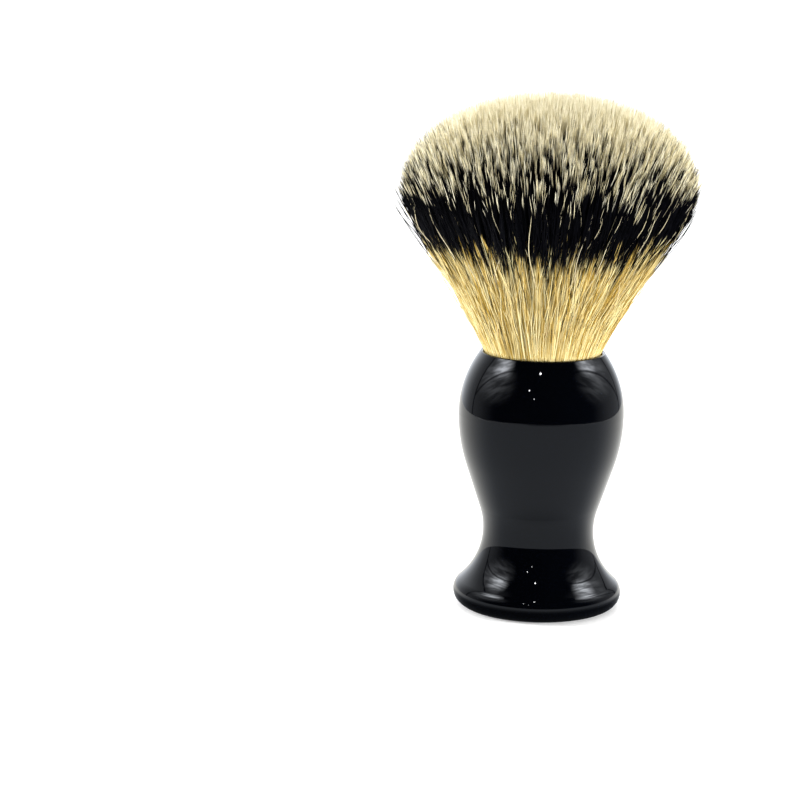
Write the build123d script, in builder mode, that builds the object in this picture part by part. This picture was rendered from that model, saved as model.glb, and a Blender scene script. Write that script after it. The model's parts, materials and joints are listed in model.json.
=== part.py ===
from build123d import *
import os
from math import asin, atan2, cos, hypot, radians, sin

# Shaving brush: a turned handle of cast resin with a fanned knot of synthetic fibres.
# Millimetres, +Z up along the brush's axis. The origin is the centre of the flat foot.

# ---------------------------------------------------------------- driving dimensions

# Handle, from the foot upward
foot_radius = 17.4  # widest point of the foot's rounded bead
foot_round = 3.1  # radius of the bead, tangent to the flat underside
waist_radius = 11.5
waist_height = 16.1
belly_radius = 17.05
belly_height = 40.4
belly_lower_arc = 33.6  # radius of the bulb's side below the belly
handle_height = 53.5  # crest of the lip
lip_round = 0.4  # radius of the crest, inside and outside

# Socket and what sits in it
socket_radius = 12.1
socket_depth = 16.0
glue_wall = 0.3  # glue film round the plug
glue_bed = 1.2  # glue under the plug
plug_height = 8.0
plug_chamfer = 0.8

# Thread round the fibre bundle
thread_radius = 0.35
thread_pitch = 0.75
thread_turns = 4
thread_above_plug = 0.5  # plug's top to the first turn's underside

# Knot: a 24 mm bundle that fans out to a domed crown
bundle_radius = 12.0  # at the lip
waisted_radius = 10.9  # where the thread pulls the bundle in
crown_height = 106.4  # foot to the highest tips
crown_arc = 41.0  # dome radius at the crown
shoulder_radius = 30.0  # widest point of the fan
shoulder_height = 86.5
shoulder_bottom = 83.6  # where the fan's side meets the shoulder
side_bulge = 0.95  # how far the side's arc bows inwards from its chord
side_blend = 4.0  # rounding between side and shoulder

# Colour bands: shallow domes, at a constant length along the fibres
band_arc = 100.0
black_from = 78.5  # height of the amber-to-black change, on the axis
cream_from = 92.0  # height of the black-to-cream change, on the axis

# Flexing: the head turns about the centre of the mouth, on a spherical gap
flex_radius = 18.0
flex_gap = 0.3

# ---------------------------------------------------------------- worked-out places

socket_floor = handle_height - socket_depth
plug_bottom = socket_floor + glue_bed
plug_top = plug_bottom + plug_height
plug_radius = socket_radius - glue_wall
thread_bottom = plug_top + thread_above_plug + thread_radius
thread_height = thread_turns * thread_pitch
groove_bottom = thread_bottom - thread_radius
groove_top = thread_bottom + thread_height + thread_radius
mouth = (0, 0, handle_height)


def towards(centre, angle, radius):
    """The point at an angle, in radians, and a radius from a centre."""
    return (centre[0] + radius * cos(angle), centre[1] + radius * sin(angle))


def arc_between(centre, radius, start, end):
    """An arc from one angle to another, in radians, about a centre."""
    return ThreePointArc(
        towards(centre, start, radius),
        towards(centre, (start + end) / 2, radius),
        towards(centre, end, radius),
    )


def lip_circle():
    """Centre of the small circle that rounds the handle's lip."""
    return (socket_radius + lip_round, handle_height - lip_round)


def upper_bulb():
    """Centre and radius of the arc that is upright at the belly and tangent to the lip's circle."""
    across = lip_circle()[0] - belly_radius
    up = lip_circle()[1] - belly_height
    radius = (across**2 + up**2 - lip_round**2) / (-2 * across - 2 * lip_round)
    return (belly_radius - radius, belly_height), radius


def bead_centre():
    """Centre of the foot's bead."""
    return (foot_radius - foot_round, foot_round)


def waist_arc():
    """Centre and radius of the arc that is upright at the waist and tangent to the foot's bead."""
    across = waist_radius - bead_centre()[0]
    up = waist_height - bead_centre()[1]
    radius = (across**2 + up**2 - foot_round**2) / (2 * (foot_round - across))
    return (waist_radius + radius, waist_height), radius


def tangent_angle(lower, lower_radius, upper, upper_radius):
    """Direction of the normal to the straight line that crosses between two circles."""
    across = lower[0] - upper[0]
    down = lower[1] - upper[1]
    lean = asin((lower_radius + upper_radius) / hypot(across, down))
    return atan2(down, across) + radians(90) - lean


# ---------------------------------------------------------------- handle


def handle_profile():
    """Right half of the turned handle, cut open by its blind socket."""
    lip = lip_circle()
    bulb, bulb_radius = upper_bulb()
    waist, waist_bend = waist_arc()
    bead = bead_centre()
    belly = (belly_radius - belly_lower_arc, belly_height)
    slope = tangent_angle(waist, waist_bend, belly, belly_lower_arc)
    lip_end = atan2(lip[1] - bulb[1], lip[0] - bulb[0])
    bead_join = atan2(waist[1] - bead[1], waist[0] - bead[0])
    with BuildSketch(Plane.XZ) as profile:
        with BuildLine():
            Line((0, 0), (bead[0], 0))
            arc_between(bead, foot_round, radians(-90), bead_join)
            arc_between(waist, waist_bend, radians(180) + bead_join, radians(180) + slope)
            Line(
                towards(waist, radians(180) + slope, waist_bend),
                towards(belly, slope, belly_lower_arc),
            )
            arc_between(belly, belly_lower_arc, slope, 0)
            arc_between(bulb, bulb_radius, 0, lip_end)
            arc_between(lip, lip_round, lip_end, radians(180))
            Polyline(
                (socket_radius, lip[1]),
                (socket_radius, socket_floor),
                (0, socket_floor),
                (0, 0),
            )
        make_face()
    return profile.sketch


with BuildPart() as handle:
    revolve(handle_profile(), axis=Axis.Z)
handle.part.label = "handle"

# ---------------------------------------------------------------- plug, glue and thread

with BuildPart() as knot_plug:
    with BuildSketch(Plane.XY.offset(plug_bottom)):
        Circle(plug_radius)
    extrude(amount=plug_height)
    chamfer(knot_plug.edges().sort_by(Axis.Z)[0], plug_chamfer)
knot_plug.part.label = "knot_plug"

with BuildPart() as socket_adhesive:
    with BuildSketch(Plane.XY.offset(socket_floor)):
        Circle(socket_radius)
    extrude(amount=glue_bed + plug_height)
    add(knot_plug.part, mode=Mode.SUBTRACT)
socket_adhesive.part.label = "socket_adhesive"

with BuildPart() as binding_thread:
    with BuildLine():
        coil = Helix(
            thread_pitch,
            thread_height,
            waisted_radius + thread_radius + 0.05,
            center=(0, 0, thread_bottom),
        )
    with BuildSketch(Plane(coil @ 0, z_dir=coil % 0)):
        Circle(thread_radius)
    sweep()
binding_thread.part.label = "binding_thread"

# ---------------------------------------------------------------- fibre knot


def fan_profile():
    """Right half of the fibre bundle: tied neck, flared side, rounded shoulder and crown."""
    crown = (0, crown_height - crown_arc)
    rise = shoulder_height - crown[1]
    bend = (crown_arc**2 - shoulder_radius**2 - rise**2) / (2 * (crown_arc - shoulder_radius))
    shoulder = (shoulder_radius - bend, shoulder_height)
    crown_join = atan2(shoulder[1] - crown[1], shoulder[0] - crown[0])
    side_join = asin((shoulder_bottom - shoulder_height) / bend)
    side_top = towards(shoulder, side_join, bend)
    side_foot = (bundle_radius, handle_height)
    side_angle = atan2(side_top[1] - side_foot[1], side_top[0] - side_foot[0])
    middle = ((side_top[0] + side_foot[0]) / 2, (side_top[1] + side_foot[1]) / 2)
    with BuildSketch(Plane.XZ) as profile:
        with BuildLine():
            Polyline(
                (0, crown_height),
                (0, plug_top),
                (plug_radius - plug_chamfer, plug_top),
                (waisted_radius, groove_bottom),
                (waisted_radius, groove_top),
                (bundle_radius, handle_height - lip_round),
                side_foot,
            )
            ThreePointArc(side_foot, towards(middle, side_angle + radians(90), side_bulge), side_top)
            arc_between(shoulder, bend, side_join, crown_join)
            arc_between(crown, crown_arc, crown_join, radians(90))
        make_face()
        fillet(profile.vertices().sort_by(Axis.X)[-1], side_blend)
    return profile.sketch


with BuildPart() as fibre_bundle:
    revolve(fan_profile(), axis=Axis.Z)

with BuildPart() as fibre_roots:
    add(fibre_bundle.part)
    with Locations(mouth):
        Sphere(flex_radius, mode=Mode.INTERSECT)
fibre_roots.part.label = "fibre_roots"

with BuildPart() as fibre_body:
    add(fibre_bundle.part)
    with Locations(mouth):
        Sphere(flex_radius + flex_gap, mode=Mode.SUBTRACT)
    with Locations((0, 0, black_from - band_arc)):
        Sphere(band_arc, mode=Mode.INTERSECT)
fibre_body.part.label = "fibre_body"

with BuildPart() as fibre_black_band:
    add(fibre_bundle.part)
    with Locations((0, 0, black_from - band_arc)):
        Sphere(band_arc, mode=Mode.SUBTRACT)
    with Locations((0, 0, cream_from - band_arc)):
        Sphere(band_arc, mode=Mode.INTERSECT)
fibre_black_band.part.label = "fibre_black_band"

with BuildPart() as fibre_cream_tips:
    add(fibre_bundle.part)
    with Locations((0, 0, cream_from - band_arc)):
        Sphere(band_arc, mode=Mode.SUBTRACT)
fibre_cream_tips.part.label = "fibre_cream_tips"

# ---------------------------------------------------------------- export

os.makedirs("parts", exist_ok=True)
pieces = (
    handle,
    knot_plug,
    socket_adhesive,
    binding_thread,
    fibre_roots,
    fibre_body,
    fibre_black_band,
    fibre_cream_tips,
)
for piece in pieces:
    export_step(piece.part, f"parts/{piece.part.label}.step")
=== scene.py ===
import json
import math

import bpy
import numpy as np
from mathutils import Matrix, Vector


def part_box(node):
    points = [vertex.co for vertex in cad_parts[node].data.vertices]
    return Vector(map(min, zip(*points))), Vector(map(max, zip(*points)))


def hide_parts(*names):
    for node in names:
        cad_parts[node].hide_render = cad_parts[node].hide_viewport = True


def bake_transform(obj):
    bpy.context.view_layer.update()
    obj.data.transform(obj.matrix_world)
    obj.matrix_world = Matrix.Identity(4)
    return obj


# A shaving brush standing on a pale floor. The handle is the CAD node itself. Every fibre of the
# knot is its own tapered tube, and the fibres replace the four plain solids of the CAD knot.

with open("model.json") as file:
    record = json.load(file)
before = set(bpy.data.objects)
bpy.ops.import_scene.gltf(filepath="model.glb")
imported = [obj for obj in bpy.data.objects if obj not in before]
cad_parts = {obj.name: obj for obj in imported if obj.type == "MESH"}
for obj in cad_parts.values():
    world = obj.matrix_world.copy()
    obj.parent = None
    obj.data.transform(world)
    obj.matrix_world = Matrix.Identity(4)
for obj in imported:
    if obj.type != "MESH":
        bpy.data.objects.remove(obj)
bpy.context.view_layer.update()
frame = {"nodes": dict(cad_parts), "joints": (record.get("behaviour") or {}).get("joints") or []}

MM = 0.001
SEED = 24

# ---------------------------------------------------------------- places, from the frame

flex = frame["joints"][0]
MOUTH = float(flex["pos_m"][2])
PLUG_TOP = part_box("knot_plug")[1].z
THREAD_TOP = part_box("binding_thread")[1].z
FAN_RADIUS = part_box("fibre_black_band")[1].x
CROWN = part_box("fibre_cream_tips")[1].z

# ---------------------------------------------------------------- the knot's shape

BUNDLE_RADIUS = 11.95 * MM  # at the mouth
TIED_RADIUS = 10.7 * MM  # inside the binding thread
SHOULDER = 86.0 * MM  # height of the widest point, where the crown begins
EDGE_ANGLE = math.radians(92)  # how far round the crown the outermost tips sit
FULLNESS = 0.84  # below 1, the crown stands fuller than an ellipse
BOW = math.radians(7)  # the outermost fibres leave the mouth steeper than their chord,
CURL = math.radians(2)  # and turn up again towards their tips
LEAN = 0.4 * MM  # how far the crown's edge leans to one side; its middle leans 2.5 times as far

CLUMPS = 3300
LARGEST_CLUMP = 10
FIBRE_RADIUS = 0.095 * MM
TIP_SHARE = 0.11  # the fibre's last part, over which it thins to a point

BLACK_FROM = 24.2 * MM  # length above the mouth where the black dye begins on the outer fibres
BLACK_FROM_CORE = 30.0 * MM
CREAM_FROM = 37.7 * MM  # length where the black ends and the cream tip begins
CREAM_FROM_CORE = 46.4 * MM
SHORTEST_CREAM = 1.6 * MM  # fibres that would have less cream than this are black to the tip
UV_LENGTH = 80 * MM  # fibre length that fills the colour map's height
UV_BLACK = 0.5  # where on the map the black begins
UV_CREAM = 0.66
UV_NO_CREAM = 0.015  # how far below that a fibre with no cream stays
COLUMNS = 128  # strips of the colour map, one for each shade of fibre
STRIP_MARGIN = 0.08  # of a strip's width, left free at its side
FACE_WIDTH = 0.28  # of a strip's width, for each of a tube's three sides

# Each fibre by itself: ranges in millimetres, and scatters
KINK = (0.05, 0.3)  # size of its own wave
KINK_PITCH = (11, 20)
SWAY = (0.1, 0.4)  # size of its longer wave
SWAY_PITCH = (16, 28)
WAVE_GROWS = 9 * MM  # length above the mouth over which the waves reach their full size
LENGTH_SCATTER = 0.18 * MM
DYE_SCATTER = 1.3 * MM  # of the place where the black begins
EARLY_DYE = (0.12, 1, 8)  # share of fibres whose black begins early, and by how many millimetres
BARE_SCATTER = 0.8 * MM  # of the place where the cream begins
LATE_CREAM = (0.3, 1, 6)  # share of fibres whose cream begins late, and by how many millimetres

# Each clump: ranges in millimetres, and scatters
CLUMP_PLACE = 0.3 * MM  # scatter of the clump's tip
CLUMP_SPREAD = (0.05, 0.16)  # how far its own tips spread, times the root of their number
CLUMP_SWAY = (0.1, 0.45)
CLUMP_SWAY_PITCH = (16, 30)
CLUMP_DYE = 1.8 * MM
CLUMP_BARE = 1.2 * MM
CLUMP_SHADE = 0.4  # share of its fibres that have the clump's own shade
DARK_CLUMP = (2, 7)  # how much later the cream begins on the clumps that stay dark for longer

# The roots and the tips together
ROOT_SCATTER = 0.08  # of the bundle's radius
TIPS_BEHIND = 0.3 * MM  # scatter of the tips that end below the crown
RAGGED_EDGE = (-1.8, 1.2)  # how much longer the fibres at the fan's edge are, in millimetres
SINGLE_TIPS = (0.14, 0.4, 2.2)  # share of tips that stand out near the edge, and how far
PARTINGS = 40  # waves that push the tips apart in some places and together in others
PARTING_LENGTH = (2, 6)  # of each wave, in millimetres
PARTING_SHIFT = 0.021  # of the wave's length

# Strays: their number, and ranges in millimetres
UNDYED = 90
UNDYED_SWAY = (0.25, 0.8)
UNDYED_SWAY_PITCH = (12, 26)
LOOSE = 420
LOOSE_ANGLE = (76, 96)  # degrees round the crown
LOOSE_REACH = (-0.4, 1.45)  # the root of how far they stand out

# Steps along the amber, the black and the cream length of a fibre: more where it is seen whole
OUTER_FROM = 0.72  # share of the crown's area that lies inside the outer fibres
OUTER_STEPS = (5, 4, 4)
INNER_STEPS = (2, 2, 3)
UNDYED_STEPS = (12, 8, 4)
LOOSE_STEPS = (10, 6, 4)


# ---------------------------------------------------------------- node helpers


def new_material(name):
    """A material with its node tree and its surface shader."""
    material = bpy.data.materials.new(name)
    material.use_nodes = True
    tree = material.node_tree
    shader = next(n for n in tree.nodes if n.type == "BSDF_PRINCIPLED")
    return material, tree, shader


def feed(tree, socket, given):
    """Gives a socket a number or a colour, or links another node's output to it."""
    if isinstance(given, tuple):
        socket.default_value = (*given, 1.0)
    elif isinstance(given, (int, float)):
        socket.default_value = given
    else:
        tree.links.new(given, socket)


def math_node(tree, operation, a, b=None):
    node = tree.nodes.new("ShaderNodeMath")
    node.operation = operation
    feed(tree, node.inputs[0], a)
    if b is not None:
        feed(tree, node.inputs[1], b)
    return node.outputs[0]


def plus(tree, a, b):
    return math_node(tree, "ADD", a, b)


def minus(tree, a, b):
    return math_node(tree, "SUBTRACT", a, b)


def times(tree, a, b):
    return math_node(tree, "MULTIPLY", a, b)


def square(tree, value):
    return times(tree, value, value)


def step(tree, value, low, high):
    """0 on low's side, 1 on high's side and smooth between. Low may be the larger number."""
    node = tree.nodes.new("ShaderNodeMapRange")
    node.interpolation_type = "SMOOTHSTEP"
    for socket, given in zip(node.inputs, (value, low, high)):
        feed(tree, socket, given)
    return node.outputs[0]


def mix(tree, factor, a, b):
    """Colour a where the factor is 0, and b where it is 1."""
    node = tree.nodes.new("ShaderNodeMix")
    node.data_type = "RGBA"
    for index, given in ((0, factor), (6, a), (7, b)):
        feed(tree, node.inputs[index], given)
    return node.outputs[2]


def own_place(tree):
    """The place on the object, in its own coordinates."""
    return tree.nodes.new("ShaderNodeTexCoord").outputs["Object"]


def split_xyz(tree, vector):
    """The three numbers of a vector."""
    node = tree.nodes.new("ShaderNodeSeparateXYZ")
    tree.links.new(vector, node.inputs[0])
    return node.outputs


def vector_node(tree, operation, vector):
    node = tree.nodes.new("ShaderNodeVectorMath")
    node.operation = operation
    tree.links.new(vector, node.inputs[0])
    return node.outputs


def noise(tree, scale, detail, vector=None):
    node = tree.nodes.new("ShaderNodeTexNoise")
    node.inputs["Scale"].default_value = scale
    node.inputs["Detail"].default_value = detail
    if vector is None:
        vector = own_place(tree)
    tree.links.new(vector, node.inputs["Vector"])
    return node.outputs[0]


def bump(tree, shader, height, strength, distance):
    """Raises a shader's surface by a height from 0 to 1, times the distance."""
    node = tree.nodes.new("ShaderNodeBump")
    node.inputs["Strength"].default_value = strength
    node.inputs["Distance"].default_value = distance
    tree.links.new(height, node.inputs["Height"])
    tree.links.new(node.outputs[0], shader.inputs["Normal"])


# ---------------------------------------------------------------- materials


def fibre_shades(tree):
    """The map's height along the fibre, and three random numbers for the fibre's strip of it."""
    uv = tree.nodes.new("ShaderNodeUVMap")
    uv.uv_map = "OFBake"
    across, along, _ = split_xyz(tree, uv.outputs[0])
    strip = math_node(tree, "FLOOR", times(tree, across, COLUMNS))
    white = tree.nodes.new("ShaderNodeTexWhiteNoise")
    white.noise_dimensions = "1D"
    tree.links.new(strip, white.inputs["W"])
    return along, split_xyz(tree, white.outputs["Color"])


def fibre_surface(shader):
    """The dull sheen of a dry fibre."""
    shader.inputs["Roughness"].default_value = 0.5
    shader.inputs["Specular IOR Level"].default_value = 0.06


def dyed_fibre():
    """Amber root, black middle, cream tip. Each strip has its own shades and its own end of the amber."""
    material, tree, shader = new_material("dyed_fibre")
    along, (tint, edge, tip) = fibre_shades(tree)
    amber = mix(tree, tint, (0.42, 0.263, 0.035), (0.80, 0.72, 0.40))
    black = mix(tree, tint, (0.0005, 0.0005, 0.0015), (0.003, 0.003, 0.005))
    cream = mix(tree, tip, (0.60, 0.52, 0.30), (0.93, 0.88, 0.68))
    start = plus(tree, UV_BLACK - 0.02, times(tree, edge, 0.02))
    dark = step(tree, along, start, plus(tree, start, 0.035))
    light = step(tree, along, UV_CREAM - 0.008, UV_CREAM + 0.008)
    colour = mix(tree, light, mix(tree, dark, amber, black), cream)
    tree.links.new(colour, shader.inputs["Base Color"])
    fibre_surface(shader)
    return material


def undyed_fibre():
    """The few fibres that took no dye: cream all along, a little darker at the root."""
    material, tree, shader = new_material("undyed_fibre")
    along, (tint, _, _) = fibre_shades(tree)
    root = mix(tree, tint, (0.60, 0.45, 0.20), (0.80, 0.66, 0.38))
    end = mix(tree, tint, (0.62, 0.54, 0.33), (0.80, 0.72, 0.50))
    tree.links.new(mix(tree, step(tree, along, 0.2, 0.6), root, end), shader.inputs["Base Color"])
    fibre_surface(shader)
    return material


def black_resin():
    """Cast black resin, turned and polished: near-black, glossy, with faint polishing waves."""
    material, tree, shader = new_material("polished_black_resin")
    cloud = noise(tree, 90, 4)
    colour = mix(tree, cloud, (0.0002, 0.0003, 0.0008), (0.0004, 0.0006, 0.0012))
    tree.links.new(colour, shader.inputs["Base Color"])
    polish = noise(tree, 240, 5)
    rough = tree.nodes.new("ShaderNodeMapRange")
    rough.inputs["To Min"].default_value = 0.02
    rough.inputs["To Max"].default_value = 0.05
    tree.links.new(polish, rough.inputs["Value"])
    tree.links.new(rough.outputs[0], shader.inputs["Roughness"])
    shader.inputs["IOR"].default_value = 1.36
    bump(tree, shader, noise(tree, 160, 2), 0.02, 0.1 * MM)
    return material


def cast_plug():
    """Amber resin, cast round the fibres' roots."""
    material, tree, shader = new_material("cast_plug_resin")
    colour = mix(tree, noise(tree, 400, 4), (0.42, 0.30, 0.15), (0.62, 0.48, 0.27))
    tree.links.new(colour, shader.inputs["Base Color"])
    shader.inputs["Roughness"].default_value = 0.35
    bump(tree, shader, noise(tree, 900, 4), 0.3, 0.1 * MM)
    return material


def set_glue():
    """Pale glue that set in the socket."""
    material, tree, shader = new_material("set_epoxy")
    colour = mix(tree, noise(tree, 250, 3), (0.66, 0.56, 0.35), (0.82, 0.75, 0.55))
    tree.links.new(colour, shader.inputs["Base Color"])
    shader.inputs["Roughness"].default_value = 0.2
    bump(tree, shader, noise(tree, 500, 2), 0.2, 0.1 * MM)
    return material


def waxed_thread():
    """Twisted thread: fine slanting ridges round the yarn."""
    material, tree, shader = new_material("waxed_thread")
    colour = mix(tree, noise(tree, 1500, 3), (0.70, 0.66, 0.55), (0.86, 0.83, 0.74))
    tree.links.new(colour, shader.inputs["Base Color"])
    shader.inputs["Roughness"].default_value = 0.6
    wave = tree.nodes.new("ShaderNodeTexWave")
    wave.bands_direction = "DIAGONAL"
    wave.inputs["Scale"].default_value = 1200
    tree.links.new(own_place(tree), wave.inputs["Vector"])
    bump(tree, shader, wave.outputs[1], 0.6, 0.05 * MM)
    return material


def paint(node, material):
    """Gives a CAD node its finished material."""
    for place in frame["nodes"][node].material_slots:
        place.material = material


# ---------------------------------------------------------------- fibres


def crown_tip(angle):
    """Radius and height of a tip at an angle round the crown, from the axis."""
    rise = np.sign(np.cos(angle)) * np.abs(np.cos(angle)) ** FULLNESS
    return FAN_RADIUS * np.sin(angle), SHOULDER + (CROWN - SHOULDER) * rise


def crown_angle(share):
    """The angle that has a share of the crown's area inside it."""
    angle = np.linspace(0, EDGE_ANGLE, 400)
    radius, height = crown_tip(angle)
    strip = np.hypot(np.diff(radius), np.diff(height)) * (radius[1:] + radius[:-1])
    area = np.concatenate(([0], np.cumsum(strip)))
    return np.interp(share, area / area[-1], angle)


def smooth(x):
    """0 below 0, 1 above 1, smooth between."""
    x = np.clip(x, 0, 1)
    return x * x * (3 - 2 * x)


def bezier(a, b, c, d, t):
    """Points at the shares t of cubic curves with the corners a, b, c and d."""
    a, b, c, d = (p[:, None, :] for p in (a, b, c, d))
    return a * (1 - t) ** 3 + 3 * b * t * (1 - t) ** 2 + 3 * c * t * t * (1 - t) + d * t**3


def turned(radius, azimuth, height):
    """Points from their distance from the axis, their direction round it and their height."""
    return np.stack([radius * np.cos(azimuth), radius * np.sin(azimuth), height], -1)


def onto_crown(tip):
    """Moves tips that lie close to the crown onto it, straight from or to the shoulder's centre."""
    out = tip - np.array([0, 0, SHOULDER])
    level = (np.hypot(out[:, 0], out[:, 1]) / FAN_RADIUS) ** 2
    level += np.abs(out[:, 2] / (CROWN - SHOULDER)) ** (2 / FULLNESS)
    return out / np.sqrt(level)[:, None] + np.array([0, 0, SHOULDER])


class Fibres:
    """A set of fibres: where each one starts and ends, how it waves and where its colour changes."""

    def __init__(self, rng, share, tip):
        count = len(share)
        self.count = count
        self.share = share
        self.tip = tip
        self.root_reach = np.sqrt(share)
        self.root_azimuth = np.arctan2(tip[:, 1], tip[:, 0])
        self.longer = rng.normal(0, LENGTH_SCATTER, count)
        # the core's fibres are thicker: each stands for more than one
        self.radius = FIBRE_RADIUS * rng.uniform(0.8, 1.2, count) * (1.25 - 0.25 * share)
        self.kink = rng.uniform(*KINK, count) * MM
        self.kink_pitch = rng.uniform(*KINK_PITCH, count) * MM
        self.kink_phase = rng.uniform(0, 2 * math.pi, (count, 2))
        self.sway = rng.uniform(*SWAY, count) * MM
        self.sway_pitch = rng.uniform(*SWAY_PITCH, count) * MM
        self.sway_phase = rng.uniform(0, 2 * math.pi, (count, 2))
        self.dye = rng.normal(0, DYE_SCATTER, count)
        early, least, most = EARLY_DYE
        self.dye -= (rng.random(count) < early) * rng.uniform(least, most, count) * MM
        self.bare = rng.normal(0, BARE_SCATTER, count)
        self.column = rng.integers(0, COLUMNS, count)

    def colour_ends(self, chord):
        """Shares of each fibre's chord where the black and the cream begin, and who has no cream."""
        core = 1 - self.share
        black = BLACK_FROM + (BLACK_FROM_CORE - BLACK_FROM) * core + self.dye
        cream = CREAM_FROM + (CREAM_FROM_CORE - CREAM_FROM) * core + self.bare
        all_black = chord - cream < SHORTEST_CREAM
        cream = np.where(all_black, chord - 0.1 * MM, cream) / chord
        return np.minimum(black / chord, cream - 0.02), cream, all_black

    def add_waves(self, points, above_mouth):
        """Bends the points by each fibre's two waves, which grow from nothing at the mouth."""
        loose = smooth(above_mouth / WAVE_GROWS)
        for size, pitch, phase in (
            (self.kink, self.kink_pitch, self.kink_phase),
            (self.sway, self.sway_pitch, self.sway_phase),
        ):
            for axis in (0, 1):
                turn = 2 * math.pi * above_mouth / pitch[:, None] + phase[:, axis, None]
                points[:, :, axis] += np.sin(turn) * loose * size[:, None]

    def paths(self, steps):
        """Points along each fibre, from the plug's top to the tip, and their heights on the map."""
        mouth_radius = self.root_reach * BUNDLE_RADIUS
        tip_radius = np.hypot(self.tip[:, 0], self.tip[:, 1])
        azimuth = np.arctan2(self.tip[:, 1], self.tip[:, 0])
        start = turned(mouth_radius, self.root_azimuth, np.full(self.count, MOUTH))
        end = self.tip.copy()
        end[:, 0] += LEAN * (2.5 - 1.5 * self.share)
        away = (end - start) / np.linalg.norm(end - start, axis=1)[:, None]
        end = end + away * self.longer[:, None]
        chord = np.linalg.norm(end - start, axis=1)
        slope = np.arctan2(tip_radius - mouth_radius, self.tip[:, 2] - MOUTH)
        steep = slope - BOW * self.root_reach
        curled = slope - CURL * self.root_reach
        first = turned(np.sin(steep), self.root_azimuth, np.cos(steep))
        last = turned(np.sin(curled), azimuth, np.cos(curled))
        third = (chord / 3)[:, None]
        black, cream, all_black = self.colour_ends(chord)
        t = np.zeros((self.count, 1))
        for stop, number in zip((black, cream, np.ones(self.count)), steps):
            part = np.arange(1, number + 1) / number
            t = np.concatenate([t, t[:, -1:] + (stop[:, None] - t[:, -1:]) * part], axis=1)
        free = bezier(start, start + first * third, end - last * third, end, t[:, :, None])
        above_mouth = t * chord[:, None]
        self.add_waves(free, above_mouth)
        tied_at = self.root_reach * TIED_RADIUS
        tied = turned(tied_at, self.root_azimuth, np.full(self.count, THREAD_TOP))
        root = turned(tied_at, self.root_azimuth, np.full(self.count, PLUG_TOP))
        points = np.concatenate([root[:, None], tied[:, None], free], axis=1)
        return points, map_heights(above_mouth, black * chord, cream * chord, all_black, steps)


def map_heights(above_mouth, black, cream, all_black, steps):
    """Heights on the colour map of the points of fibres, given how far up each colour begins.

    Each colour begins at the same height for every fibre, and a fibre with no cream ends below it.
    """
    below = np.array([[PLUG_TOP - MOUTH, THREAD_TOP - MOUTH]]) - black[:, None]
    before = above_mouth[:, : steps[0]] - black[:, None]
    between = np.linspace(0, 1, steps[1] + 1)
    after = above_mouth[:, -steps[2] :] - cream[:, None]
    top = np.where(all_black, UV_CREAM - UV_NO_CREAM, UV_CREAM)[:, None]
    up = [
        UV_BLACK + below / UV_LENGTH,
        UV_BLACK + before / UV_LENGTH,
        UV_BLACK + (top - UV_BLACK) * between,
        top + after / UV_LENGTH,
    ]
    return np.clip(np.concatenate(up, axis=1), 0.002, 0.998)


def tube_points(points, radius):
    """Corners of one three-sided tube for each fibre, thinning to a point at its tip."""
    along = np.diff(points, axis=1, prepend=points[:, :1] - np.array([0, 0, MM]))
    along[:, :-1] += along[:, 1:]
    along /= np.linalg.norm(along, axis=2)[:, :, None]
    side = np.cross(along, np.array([0.0, 1.0, 0.0]))
    side /= np.linalg.norm(side, axis=2)[:, :, None]
    other = np.cross(along, side)
    length = np.cumsum(np.linalg.norm(np.diff(points, axis=1, prepend=points[:, :1]), axis=2), axis=1)
    share = length / length[:, -1:]
    thin = np.clip((1 - share) / TIP_SHARE, 0, 1) ** 0.5
    thick = (radius[:, None] * thin)[:, :-1, None, None]
    turn = np.arange(3) * 2 * math.pi / 3
    ring = (
        points[:, :-1, None]
        + side[:, :-1, None] * (np.cos(turn)[:, None] * thick)
        + other[:, :-1, None] * (np.sin(turn)[:, None] * thick)
    )
    return np.concatenate([ring.reshape(len(points), -1, 3), points[:, -1:]], axis=1)


def tube_faces(count, rings):
    """Corner numbers of each tube's side faces, and of the faces that close its tip and its root."""
    corners = (rings - 1) * 3 + 1
    first = (np.arange(count) * corners)[:, None, None, None]
    ring = np.arange(rings - 2)[None, :, None] * 3
    corner = np.arange(3)[None, None, :]
    beside = (corner + 1) % 3
    sides = np.stack([ring + corner, ring + beside, ring + 3 + beside, ring + 3 + corner], -1) + first
    last = (rings - 2) * 3
    tips = np.stack([last + corner[0], last + beside[0], np.full((1, 3), corners - 1)], -1)
    tips = tips + first[:, :, 0]
    roots = np.array([[2, 1, 0]]) + first[:, 0, 0]
    return sides.reshape(-1, 4), np.concatenate([tips.reshape(-1, 3), roots.reshape(-1, 3)])


def tube_map(column, up, rings):
    """Places on the colour map, in the faces' order: across the fibre's own strip, up its length."""
    count = len(column)
    left = (column[:, None, None] + STRIP_MARGIN + FACE_WIDTH * np.arange(3)[None, None, :]) / COLUMNS
    left = np.broadcast_to(left, (count, rings - 2, 3))
    right = left + FACE_WIDTH / COLUMNS
    low = np.broadcast_to(up[:, : rings - 2, None], left.shape)
    high = np.broadcast_to(up[:, 1 : rings - 1, None], left.shape)
    sides = np.stack([left, low, right, low, right, high, left, high], -1)
    tip_left, tip_right = left[:, 0], right[:, 0]
    tip_low = np.broadcast_to(up[:, rings - 2, None], (count, 3))
    tip_high = np.broadcast_to(up[:, rings - 1, None], (count, 3))
    middle = (tip_left + tip_right) / 2
    tips = np.stack([tip_left, tip_low, tip_right, tip_low, middle, tip_high], -1)
    across = [column / COLUMNS + share / COLUMNS for share in (0.1, 0.9, 0.5)]
    bottom = up[:, 0]
    roots = np.stack([across[0], bottom, across[1], bottom, across[2], bottom + 0.002], -1)
    return np.concatenate([part.reshape(-1, 2) for part in (sides, tips, roots)])


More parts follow.
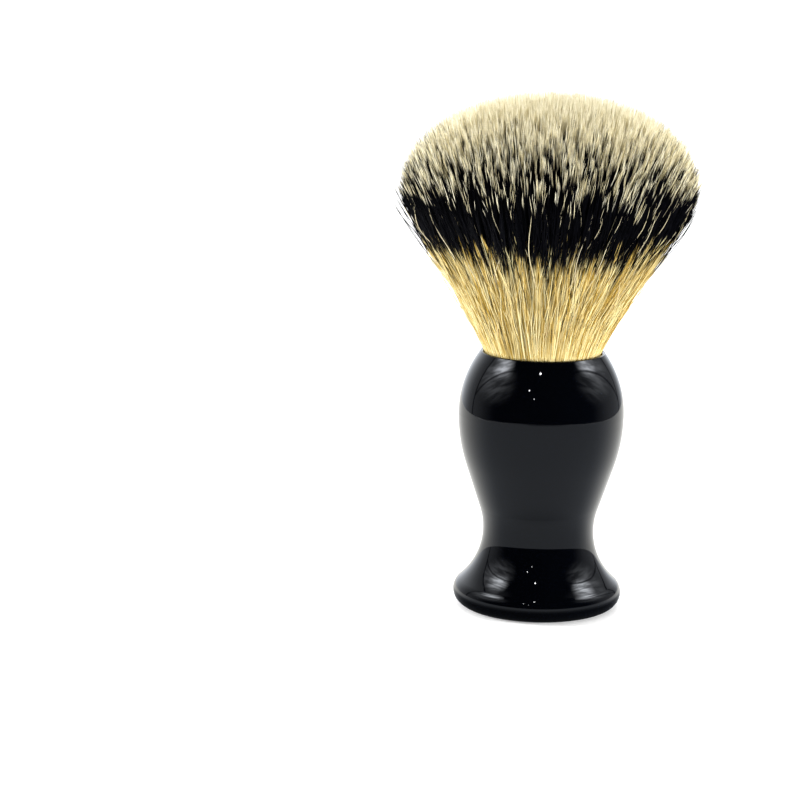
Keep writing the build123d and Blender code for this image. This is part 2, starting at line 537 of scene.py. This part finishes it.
def tube_mesh(name, points, radius, column, up):
    """One closed tube for each fibre, with its places on the colour map."""
    count, rings, _ = points.shape
    verts = tube_points(points, radius).reshape(-1, 3)
    quads, tris = tube_faces(count, rings)
    loops = np.concatenate([quads.ravel(), tris.ravel()])
    starts = np.concatenate([np.arange(len(quads)) * 4, len(quads) * 4 + np.arange(len(tris)) * 3])
    mesh = bpy.data.meshes.new(name)
    mesh.vertices.add(len(verts))
    mesh.vertices.foreach_set("co", verts.astype(np.float32).ravel())
    mesh.loops.add(len(loops))
    mesh.loops.foreach_set("vertex_index", loops.astype(np.int32))
    mesh.polygons.add(len(starts))
    mesh.polygons.foreach_set("loop_start", starts.astype(np.int32))
    layer = mesh.uv_layers.new(name="OFBake")
    layer.data.foreach_set("uv", tube_map(column, up, rings).astype(np.float32).ravel())
    mesh.update(calc_edges=True)
    mesh.polygons.foreach_set("use_smooth", np.ones(len(mesh.polygons), bool))
    mesh.validate()
    return mesh


def add_fibres(name, fibres, steps, material, chosen=None):
    """Makes one piece of a set of fibres, or of the chosen ones."""
    points, up = fibres.paths(steps)
    chosen = np.ones(fibres.count, bool) if chosen is None else chosen
    mesh = tube_mesh(
        name, points[chosen], fibres.radius[chosen], fibres.column[chosen], up[chosen]
    )
    mesh.materials.append(material)
    piece = bpy.data.objects.new(name, mesh)
    bpy.context.scene.collection.objects.link(piece)
    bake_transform(piece)
    return piece


def clumped_fibres(rng):
    """The knot's fibres, in small clumps whose tips lie together."""
    index = np.arange(CLUMPS) + 0.5
    share = index / CLUMPS
    golden = math.pi * (3 - math.sqrt(5))
    azimuth = index * golden + rng.normal(0, 0.35, CLUMPS) / np.sqrt(index)
    radius, height = crown_tip(crown_angle(share))
    tip = turned(radius, azimuth, height)
    tip[:, :2] += partings(rng, tip) * smooth(0.3 + share)[:, None]
    tip[:, :2] += rng.normal(0, CLUMP_PLACE, (CLUMPS, 2))
    size = rng.integers(1, LARGEST_CLUMP + 1, CLUMPS)
    owner = np.repeat(np.arange(CLUMPS), size)
    count = len(owner)
    tip = tip[owner]
    # the clumps at the crown's middle spread the most
    spread = np.sqrt(size) * rng.uniform(*CLUMP_SPREAD, CLUMPS) * (1.6 - 0.75 * smooth(share * 2)) * MM
    tip[:, :2] += rng.normal(0, 1, (count, 2)) * spread[owner, None]
    fibres = Fibres(rng, share[owner], onto_crown(tip))
    # the roots scatter more widely than the tips, so that neighbours cross on their way up
    x = fibres.root_reach * np.cos(fibres.root_azimuth) + rng.normal(0, ROOT_SCATTER, count)
    y = fibres.root_reach * np.sin(fibres.root_azimuth) + rng.normal(0, ROOT_SCATTER, count)
    fibres.root_reach = np.minimum(np.hypot(x, y), 1)
    fibres.root_azimuth = np.arctan2(y, x)
    fibres.longer += 0.25 * MM - np.abs(rng.normal(0, TIPS_BEHIND, count))
    # the fan's edge is ragged, and single tips stand out past it
    fibres.longer += smooth((fibres.share - 0.8) / 0.2) * rng.uniform(*RAGGED_EDGE, count) * MM
    few, least, most = SINGLE_TIPS
    single = rng.random(count) < few * smooth((fibres.share - 0.55) / 0.3)
    fibres.longer += single * rng.uniform(least, most, count) * MM
    fibres.sway = rng.uniform(*CLUMP_SWAY, CLUMPS)[owner] * MM
    fibres.sway_pitch = rng.uniform(*CLUMP_SWAY_PITCH, CLUMPS)[owner] * MM
    fibres.sway_phase = rng.uniform(0, 2 * math.pi, (CLUMPS, 2))[owner]
    fibres.dye += rng.normal(0, CLUMP_DYE, CLUMPS)[owner]
    fibres.bare += rng.normal(0, CLUMP_BARE, CLUMPS)[owner]
    # clumps that stay dark for longer leave black gaps, most of them at the front and back
    front = np.sin(azimuth) ** 2
    dark_clump = rng.random(CLUMPS) < (0.06 + 0.52 * front) * smooth((share - 0.12) / 0.3)
    fibres.bare += (dark_clump * rng.uniform(*DARK_CLUMP, CLUMPS))[owner] * MM
    late, least, most = LATE_CREAM
    darker = late * smooth((fibres.share - 0.2) / 0.4)
    fibres.bare += (rng.random(count) < darker) * rng.uniform(least, most, count) * MM
    shade = rng.integers(0, COLUMNS, CLUMPS)[owner]
    fibres.column = np.where(rng.random(count) < CLUMP_SHADE, shade, fibres.column)
    return fibres


def partings(rng, tip):
    """Sideways shifts of the tips that crowd them in some places and part them in others."""
    shift = np.zeros((len(tip), 2))
    for _ in range(PARTINGS):
        length = rng.uniform(*PARTING_LENGTH) * MM
        way = rng.uniform(0, 2 * math.pi)
        phase = rng.uniform(0, 2 * math.pi)
        along = tip[:, 0] * math.cos(way) + tip[:, 1] * math.sin(way)
        wave = np.sin(along * 2 * math.pi / length + phase)
        shift += wave[:, None] * np.array([math.cos(way), math.sin(way)]) * length * PARTING_SHIFT
    return shift


def build_knot():
    """The whole knot: four quarters, each with its outer and its inner fibres, and the strays."""
    rng = np.random.default_rng(SEED)
    dyed = dyed_fibre()
    fibres = clumped_fibres(rng)
    outer = fibres.share > OUTER_FROM
    rank = np.empty(fibres.count, int)
    rank[np.argsort(fibres.root_azimuth)] = np.arange(fibres.count)
    quarter = (rank * 4) // fibres.count
    for side in range(4):
        here = quarter == side
        for place, steps, chosen in (("outer", OUTER_STEPS, outer), ("inner", INNER_STEPS, ~outer)):
            name = f"fibres_{place}_{side + 1}"
            add_fibres(name, fibres, steps, dyed, chosen & here)
    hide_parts("fibre_roots", "fibre_body", "fibre_black_band", "fibre_cream_tips")
    build_strays(rng, dyed)


def build_strays(rng, dyed):
    """Undyed fibres among the dyed ones, and loose ones that stand out at the fan's edge."""
    share = 1 - rng.random(UNDYED) ** 2 * 0.25
    radius, height = crown_tip(crown_angle(share))
    undyed = Fibres(rng, share, turned(radius, rng.uniform(0, 2 * math.pi, UNDYED), height))
    undyed.root_azimuth += rng.normal(0, math.radians(8), UNDYED)
    undyed.sway = rng.uniform(*UNDYED_SWAY, UNDYED) * MM
    undyed.sway_pitch = rng.uniform(*UNDYED_SWAY_PITCH, UNDYED) * MM
    undyed.radius = FIBRE_RADIUS * rng.uniform(0.7, 1.0, UNDYED)
    piece = add_fibres("fibres_undyed", undyed, UNDYED_STEPS, undyed_fibre())
    radius, height = crown_tip(np.radians(rng.uniform(*LOOSE_ANGLE, LOOSE)))
    azimuth = rng.uniform(0, 2 * math.pi, LOOSE)
    # they stand out further on the left
    radius += rng.uniform(*LOOSE_REACH, LOOSE) ** 2 * (0.95 - 0.4 * np.cos(azimuth)) * MM
    tip = turned(radius, azimuth, height)
    loose = Fibres(rng, rng.uniform(0.93, 1, LOOSE), tip)
    loose.root_azimuth += rng.normal(0, math.radians(5), LOOSE)
    loose.dye -= rng.uniform(0, 6, LOOSE) * MM
    loose.radius = FIBRE_RADIUS * rng.uniform(0.7, 1.1, LOOSE)
    piece = add_fibres("fibres_loose", loose, LOOSE_STEPS, dyed)


# ---------------------------------------------------------------- handle and hidden pieces


def finish_cad_nodes():
    """The CAD nodes that stay as they are, each with its own material."""
    paint("handle", black_resin())
    paint("knot_plug", cast_plug())
    paint("socket_adhesive", set_glue())
    paint("binding_thread", waxed_thread())


# ---------------------------------------------------------------- floor, light and camera

TENT = (0.31, 0.42, 0.50)  # half sizes of the light tent round the brush, in metres
TENT_CENTRE = 0.04  # height of its middle
FRONT_GLOW = 0.6  # strength of the white world in front of the brush, and behind it
BACK_GLOW = 1.9
SPOT_HEIGHT = 41  # elevation of the bright patch on each side of the tent, in degrees
# the patch's core and its halo: half width, half height and drop in degrees, and strength
SPOT_GLOWS = ((26, 16, 0, 14.0), (44, 26, 12, 1.8))
# side, azimuth of its bright patch, azimuth of its back seam, and its crease's height, fall and bend
SIDES = ((-1, 83, 111, (37.5, 0.55, 0.0085)), (1, 93, 131, (39.0, 0.3, 0.0075)))
SOFT_BOXES = ((-88, 22, 3.6), (70, 6, 8.2))  # azimuth and elevation in degrees, and power
SOFT_BOX_AWAY = 0.6
# azimuth and elevation from the handle's shoulder, power, and radius in millimetres
LAMPS = ((-6.8, 49.3, 0.1625, 6.5), (-22.8, 29.0, 0.04375, 4.0), (-14.3, 20.3, 0.01875, 3.5))
LAMP_AWAY = 0.3
CAMERA = (-29.06, -540, 151.1)  # in millimetres
CAMERA_DOWN = 11.35  # degrees that the camera looks down
CAMERA_ROLL = 0.92  # degrees that it leans sideways
LENS = 120.65  # focal length in millimetres


def add_stage_mesh(name, verts, faces, material):
    """A piece of the stage, which is not part of the brush."""
    mesh = bpy.data.meshes.new(name)
    mesh.from_pydata(verts, [], faces)
    mesh.materials.append(material)
    piece = bpy.data.objects.new(name, mesh)
    bpy.context.scene.collection.objects.link(piece)
    return piece


def build_floor():
    """A pale plane, just under the foot."""
    size = 4.0
    corners = ((-size, -size), (size, -size), (size, size), (-size, size))
    material, tree, shader = new_material("pale_floor")
    shader.inputs["Emission Color"].default_value = (1, 1, 1, 1)
    shader.inputs["Emission Strength"].default_value = 0.3
    colour = mix(tree, noise(tree, 3, 2), (0.83, 0.83, 0.83), (0.86, 0.86, 0.86))
    tree.links.new(colour, shader.inputs["Base Color"])
    shader.inputs["Roughness"].default_value = 0.7
    add_stage_mesh("floor", [(x, y, -0.02 * MM) for x, y in corners], [(0, 1, 2, 3)], material)


def reflected_only(piece):
    """Keeps a stage piece out of sight: it shows in the polish alone."""
    piece.visible_camera = False
    piece.visible_diffuse = False
    piece.visible_shadow = False
    piece.visible_transmission = False


def glowing(name):
    """A material that gives out light and nothing else, its node tree and its emission node."""
    material = bpy.data.materials.new(name)
    material.use_nodes = True
    material.cycles.emission_sampling = "NONE"
    tree = material.node_tree
    tree.nodes.clear()
    out = tree.nodes.new("ShaderNodeOutputMaterial")
    emit = tree.nodes.new("ShaderNodeEmission")
    tree.links.new(emit.outputs[0], out.inputs[0])
    return material, tree, emit


def tent_side(tree, azimuth, elevation, side, spot, seam, crease):
    """How bright one side of the tent is: grey cloth, a lamp glowing through it, a crease, a seam."""
    across = times(tree, azimuth, side)
    glow = times(tree, step(tree, across, 66, 104), 0.42)
    slant = plus(tree, elevation, times(tree, across, 0.6))
    folds = noise(tree, 1.0, 2, stretched(tree, across, slant, 22.0, 5.0))
    folds = plus(tree, 0.3, times(tree, step(tree, folds, 0.3, 0.7), 1.1))
    for wide, high, lower, power in SPOT_GLOWS:
        u = math_node(tree, "DIVIDE", minus(tree, across, spot), wide)
        v = math_node(tree, "DIVIDE", minus(tree, elevation, SPOT_HEIGHT - lower), high)
        away = math_node(tree, "SQRT", plus(tree, square(tree, u), square(tree, v)))
        lamp = times(tree, step(tree, away, 1.0, 0.0), power)
        glow = plus(tree, glow, times(tree, lamp, folds))
    height, fall, bend = crease
    past = minus(tree, across, 74)
    drop = times(tree, past, fall)
    drop = plus(tree, drop, times(tree, square(tree, past), bend))
    off_crease = minus(tree, plus(tree, elevation, drop), height)
    lit = step(tree, math_node(tree, "ABSOLUTE", off_crease), 0.4, 2.2)
    lit = plus(tree, 0.25, times(tree, lit, 0.75))
    glow = times(tree, glow, lit)
    front = step(tree, across, seam + 0.5, seam - 0.5)
    back = plus(tree, 0.5, times(tree, step(tree, across, seam, 165), 1.5))
    back = times(tree, back, step(tree, across, seam - 0.5, seam + 0.5))
    both = plus(tree, times(tree, glow, front), back)
    off_seam = math_node(tree, "ABSOLUTE", minus(tree, across, seam))
    return times(tree, both, step(tree, off_seam, 0.3, 1.6))


def stretched(tree, across, up, wide, high):
    """Places for a noise whose blots are drawn out one way."""
    join = tree.nodes.new("ShaderNodeCombineXYZ")
    tree.links.new(math_node(tree, "DIVIDE", across, wide), join.inputs[0])
    tree.links.new(math_node(tree, "DIVIDE", up, high), join.inputs[1])
    return join.outputs[0]


def build_tent():
    """The light tent that the polish reflects: dark in front, cloth at the sides, white behind."""
    rows, columns = 48, 96
    verts = []
    for row in range(rows + 1):
        polar = math.pi * row / rows
        for column in range(columns):
            turn = 2 * math.pi * column / columns
            way = (math.sin(polar) * math.cos(turn), math.sin(polar) * math.sin(turn), math.cos(polar))
            verts.append([half * part for half, part in zip(TENT, way)])
    faces = []
    for row in range(rows):
        for column in range(columns):
            beside = (column + 1) % columns
            low, high = row * columns, (row + 1) * columns
            faces.append((low + column, low + beside, high + beside, high + column))
    material, tree, emit = glowing("tent_cloth")
    right, back, up = split_xyz(tree, vector_node(tree, "NORMALIZE", own_place(tree))["Vector"])
    azimuth = math_node(tree, "DEGREES", math_node(tree, "ARCTAN2", right, times(tree, back, -1)))
    elevation = math_node(tree, "DEGREES", math_node(tree, "ARCSINE", up))
    glow = 0.012  # the tent's dark front is not quite black
    for side in SIDES:
        glow = plus(tree, glow, tent_side(tree, azimuth, elevation, *side))
    tree.links.new(glow, emit.inputs["Strength"])
    emit.inputs["Color"].default_value = (0.90, 0.94, 1.0, 1.0)
    tent = add_stage_mesh("tent", verts, faces, material)
    tent.location.z = TENT_CENTRE
    reflected_only(tent)


def build_floor_sheen():
    """The floor as the polish reflects it: shaded close to the foot, brightest at the back."""
    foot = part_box("handle")[1].x
    sides = 96
    inside, outside = 0.8, 0.985  # of the foot's radius, and of the tent's
    verts = []
    for wide, deep in ((inside * foot, inside * foot), (outside * TENT[0], outside * TENT[1])):
        for side in range(sides):
            turn = 2 * math.pi * side / sides
            verts.append((wide * math.cos(turn), deep * math.sin(turn), 0.0))
    faces = [(k, (k + 1) % sides, (k + 1) % sides + sides, k + sides) for k in range(sides)]
    material, tree, emit = glowing("floor_sheen")
    place = own_place(tree)
    out = vector_node(tree, "LENGTH", place)["Value"]
    back = split_xyz(tree, vector_node(tree, "NORMALIZE", place)["Vector"])[1]
    behind = step(tree, back, -0.35, 0.7)
    glow = plus(tree, 0.9, times(tree, behind, 0.8))
    # near the foot the floor lies in the brush's own shade, least of all behind it
    closest = plus(tree, 0.07, times(tree, step(tree, back, -0.5, 1.1), 0.85))
    shade = math_node(tree, "MAXIMUM", step(tree, out, foot, foot * 2), closest)
    glow = times(tree, glow, shade)
    # the floor's front end lies in the dark mouth of the tent
    ahead = step(tree, back, -0.5, -0.85)
    end = times(tree, ahead, step(tree, out, 0.8 * TENT[1], 0.99 * TENT[1]))
    glow = times(tree, glow, minus(tree, 1.0, end))
    tree.links.new(glow, emit.inputs["Strength"])
    tint = mix(tree, behind, (0.86, 0.92, 1.0), (1.0, 1.0, 0.97))
    tree.links.new(tint, emit.inputs["Color"])
    reflected_only(add_stage_mesh("floor_sheen", verts, faces, material))


def build_world():
    """White all round for the camera. The light itself is stronger from behind than from in front."""
    world = bpy.data.worlds.new("white_surround")
    world.use_nodes = True
    tree = world.node_tree
    back = next(n for n in tree.nodes if n.type == "BACKGROUND")
    back.inputs["Color"].default_value = (1.0, 1.0, 1.0, 1.0)
    way = tree.nodes.new("ShaderNodeTexCoord").outputs["Generated"]
    behind = step(tree, split_xyz(tree, way)[1], -0.3, 0.5)
    glow = plus(tree, times(tree, behind, BACK_GLOW - FRONT_GLOW), FRONT_GLOW)
    seen = tree.nodes.new("ShaderNodeLightPath").outputs["Is Camera Ray"]
    tree.links.new(math_node(tree, "MAXIMUM", glow, times(tree, seen, 1.1)), back.inputs[1])
    bpy.context.scene.world = world


def add_light(name, kind, location, energy, **settings):
    """A lamp that points at the foot's centre."""
    data = bpy.data.lights.new(name, kind)
    data.energy = energy
    for key, value in settings.items():
        setattr(data, key, value)
    lamp = bpy.data.objects.new(name, data)
    lamp.location = location
    lamp.rotation_euler = (-Vector(location)).to_track_quat("-Z", "Y").to_euler()
    bpy.context.scene.collection.objects.link(lamp)
    return lamp


def direction(azimuth, elevation):
    """Unit vector at an azimuth, from straight in front round to the right, and an elevation."""
    a, e = math.radians(azimuth), math.radians(elevation)
    return Vector((math.sin(a) * math.cos(e), -math.cos(a) * math.cos(e), math.sin(e)))


def build_lights():
    """Soft boxes at both sides and above, and small lamps that show as points in the polish."""
    for azimuth, elevation, power in SOFT_BOXES:
        place = direction(azimuth, elevation) * SOFT_BOX_AWAY
        box = add_light("soft_box", "AREA", place, power, shape="DISK", size=0.25)
        box.visible_glossy = False
    top = add_light("top_box", "AREA", (0, 0.15, 0.7), 2.4, shape="DISK", size=0.4)
    top.visible_glossy = False
    shoulder = Vector((0, -0.8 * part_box("handle")[1].x, 0.93 * MOUTH))
    for azimuth, elevation, power, radius in LAMPS:
        place = shoulder + direction(azimuth, elevation) * LAMP_AWAY
        add_light("small_lamp", "POINT", place, power, shadow_soft_size=radius * MM)


def build_camera():
    """A long lens from in front, a little above the brush and to its left."""
    data = bpy.data.cameras.new("camera")
    data.sensor_width = 36.0
    data.lens = LENS
    data.clip_start = 0.01
    camera = bpy.data.objects.new("camera", data)
    camera.location = [part * MM for part in CAMERA]
    tilt = Matrix.Rotation(math.radians(90 - CAMERA_DOWN), 3, "X")
    roll = Matrix.Rotation(math.radians(CAMERA_ROLL), 3, "Z")
    camera.rotation_euler = (tilt @ roll).to_euler()
    bpy.context.scene.collection.objects.link(camera)
    bpy.context.scene.camera = camera


# ---------------------------------------------------------------- the scene

build_camera()
build_floor()
build_world()
build_tent()
build_floor_sheen()
build_lights()
finish_cad_nodes()
build_knot()
bpy.context.scene.view_settings.view_transform = "Standard"
